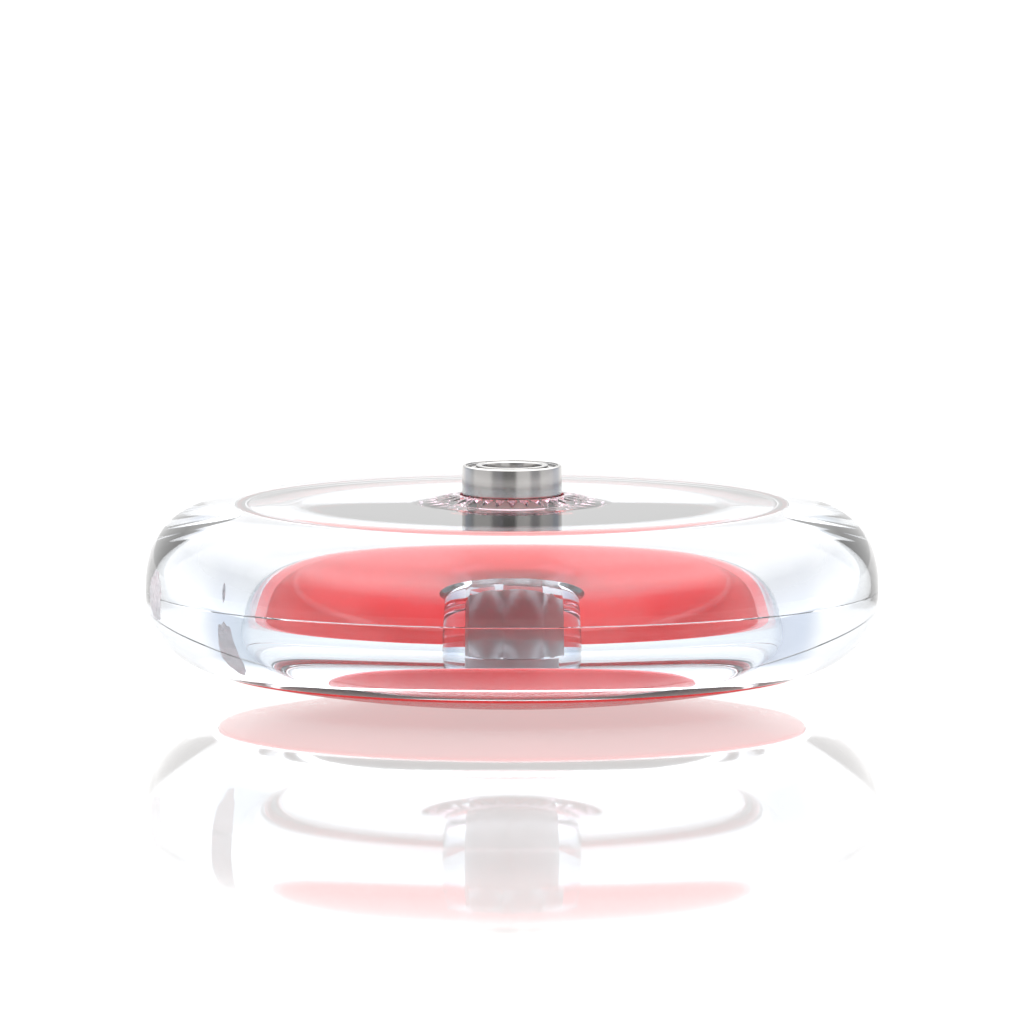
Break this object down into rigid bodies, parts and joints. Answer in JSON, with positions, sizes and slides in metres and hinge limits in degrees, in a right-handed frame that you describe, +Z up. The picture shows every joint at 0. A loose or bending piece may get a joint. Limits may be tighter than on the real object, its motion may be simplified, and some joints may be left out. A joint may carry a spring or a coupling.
{
  "type": "ball-bearing yo-yo half",
  "caption": "One half of a take-apart yo-yo: thick clear shell with a domed red snap-in side cap, starburst and a shielded ball bearing on its axle post.",
  "frame": {"origin": "middle of the flat spot on the side cap that the half rests on", "axes": "+Z up the axle line, from the side cap towards the bearing; +X and +Y across the half"},
  "size_m": [0.0582, 0.0582, 0.0186],
  "materials": {
    "clear_polycarbonate": "water-clear, polished",
    "red_plastic": "glossy, slightly translucent",
    "nut_steel": "turned hexagon bar",
    "post_steel": "fine turned",
    "race_steel": "ground, satin",
    "cage_steel": "pressed",
    "shield_steel": "pressed, satin",
    "clip_steel": "drawn wire",
    "ball_steel": "polished"
  },
  "bodies": {
    "half": {"clear_body": "clear_polycarbonate", "side_cap": "red_plastic", "axle_nut": "nut_steel", "bearing_post": "post_steel"},
    "inner_race": {"inner_race": "race_steel"},
    "outer_race": {"outer_race": "race_steel", "top_shield": "shield_steel", "bottom_shield": "shield_steel", "top_shield_clip": "clip_steel", "bottom_shield_clip": "clip_steel"},
    "cage": {"ball_cage": "cage_steel"},
    "ball_01": {"ball_01": "ball_steel"},
    "ball_02": {"ball_02": "ball_steel"},
    "ball_03": {"ball_03": "ball_steel"},
    "ball_04": {"ball_04": "ball_steel"},
    "ball_05": {"ball_05": "ball_steel"},
    "ball_06": {"ball_06": "ball_steel"},
    "ball_07": {"ball_07": "ball_steel"},
    "ball_08": {"ball_08": "ball_steel"},
    "ball_09": {"ball_09": "ball_steel"},
    "ball_10": {"ball_10": "ball_steel"}
  },
  "joints": [
    {"name": "bearing_lift", "type": "slide", "parent": "half", "child": "inner_race", "axis": [0, 0, 1], "range_m": [0, 0.006]},
    {"name": "outer_race_spin", "type": "hinge", "parent": "inner_race", "child": "outer_race", "pos_m": [0, 0, 0.01699], "axis": [0, 0, 1], "continuous": true},
    {"name": "cage_spin", "type": "hinge", "parent": "inner_race", "child": "cage", "pos_m": [0, 0, 0.01699], "axis": [0, 0, 1], "continuous": true},
    {"name": "ball_01_spin", "type": "hinge", "parent": "cage", "child": "ball_01", "pos_m": [0.00317, 0, 0.01699], "axis": [0, 0, 1], "continuous": true},
    {"name": "ball_02_spin", "type": "hinge", "parent": "cage", "child": "ball_02", "pos_m": [0.00257, 0.00187, 0.01699], "axis": [0, 0, 1], "continuous": true},
    {"name": "ball_03_spin", "type": "hinge", "parent": "cage", "child": "ball_03", "pos_m": [0.00098, 0.00302, 0.01699], "axis": [0, 0, 1], "continuous": true},
    {"name": "ball_04_spin", "type": "hinge", "parent": "cage", "child": "ball_04", "pos_m": [-0.00098, 0.00302, 0.01699], "axis": [0, 0, 1], "continuous": true},
    {"name": "ball_05_spin", "type": "hinge", "parent": "cage", "child": "ball_05", "pos_m": [-0.00257, 0.00187, 0.01699], "axis": [0, 0, 1], "continuous": true},
    {"name": "ball_06_spin", "type": "hinge", "parent": "cage", "child": "ball_06", "pos_m": [-0.00317, 0, 0.01699], "axis": [0, 0, 1], "continuous": true},
    {"name": "ball_07_spin", "type": "hinge", "parent": "cage", "child": "ball_07", "pos_m": [-0.00257, -0.00187, 0.01699], "axis": [0, 0, 1], "continuous": true},
    {"name": "ball_08_spin", "type": "hinge", "parent": "cage", "child": "ball_08", "pos_m": [-0.00098, -0.00302, 0.01699], "axis": [0, 0, 1], "continuous": true},
    {"name": "ball_09_spin", "type": "hinge", "parent": "cage", "child": "ball_09", "pos_m": [0.00098, -0.00302, 0.01699], "axis": [0, 0, 1], "continuous": true},
    {"name": "ball_10_spin", "type": "hinge", "parent": "cage", "child": "ball_10", "pos_m": [0.00257, -0.00187, 0.01699], "axis": [0, 0, 1], "continuous": true}
  ],
  "couplings": [
    {"joint": "cage_spin", "follows": "outer_race_spin", "ratio": 0.57874},
    {"joint": "ball_01_spin", "follows": "outer_race_spin", "ratio": 3.0963},
    {"joint": "ball_02_spin", "follows": "outer_race_spin", "ratio": 3.0963},
    {"joint": "ball_03_spin", "follows": "outer_race_spin", "ratio": 3.0963},
    {"joint": "ball_04_spin", "follows": "outer_race_spin", "ratio": 3.0963},
    {"joint": "ball_05_spin", "follows": "outer_race_spin", "ratio": 3.0963},
    {"joint": "ball_06_spin", "follows": "outer_race_spin", "ratio": 3.0963},
    {"joint": "ball_07_spin", "follows": "outer_race_spin", "ratio": 3.0963},
    {"joint": "ball_08_spin", "follows": "outer_race_spin", "ratio": 3.0963},
    {"joint": "ball_09_spin", "follows": "outer_race_spin", "ratio": 3.0963},
    {"joint": "ball_10_spin", "follows": "outer_race_spin", "ratio": 3.0963}
  ]
}
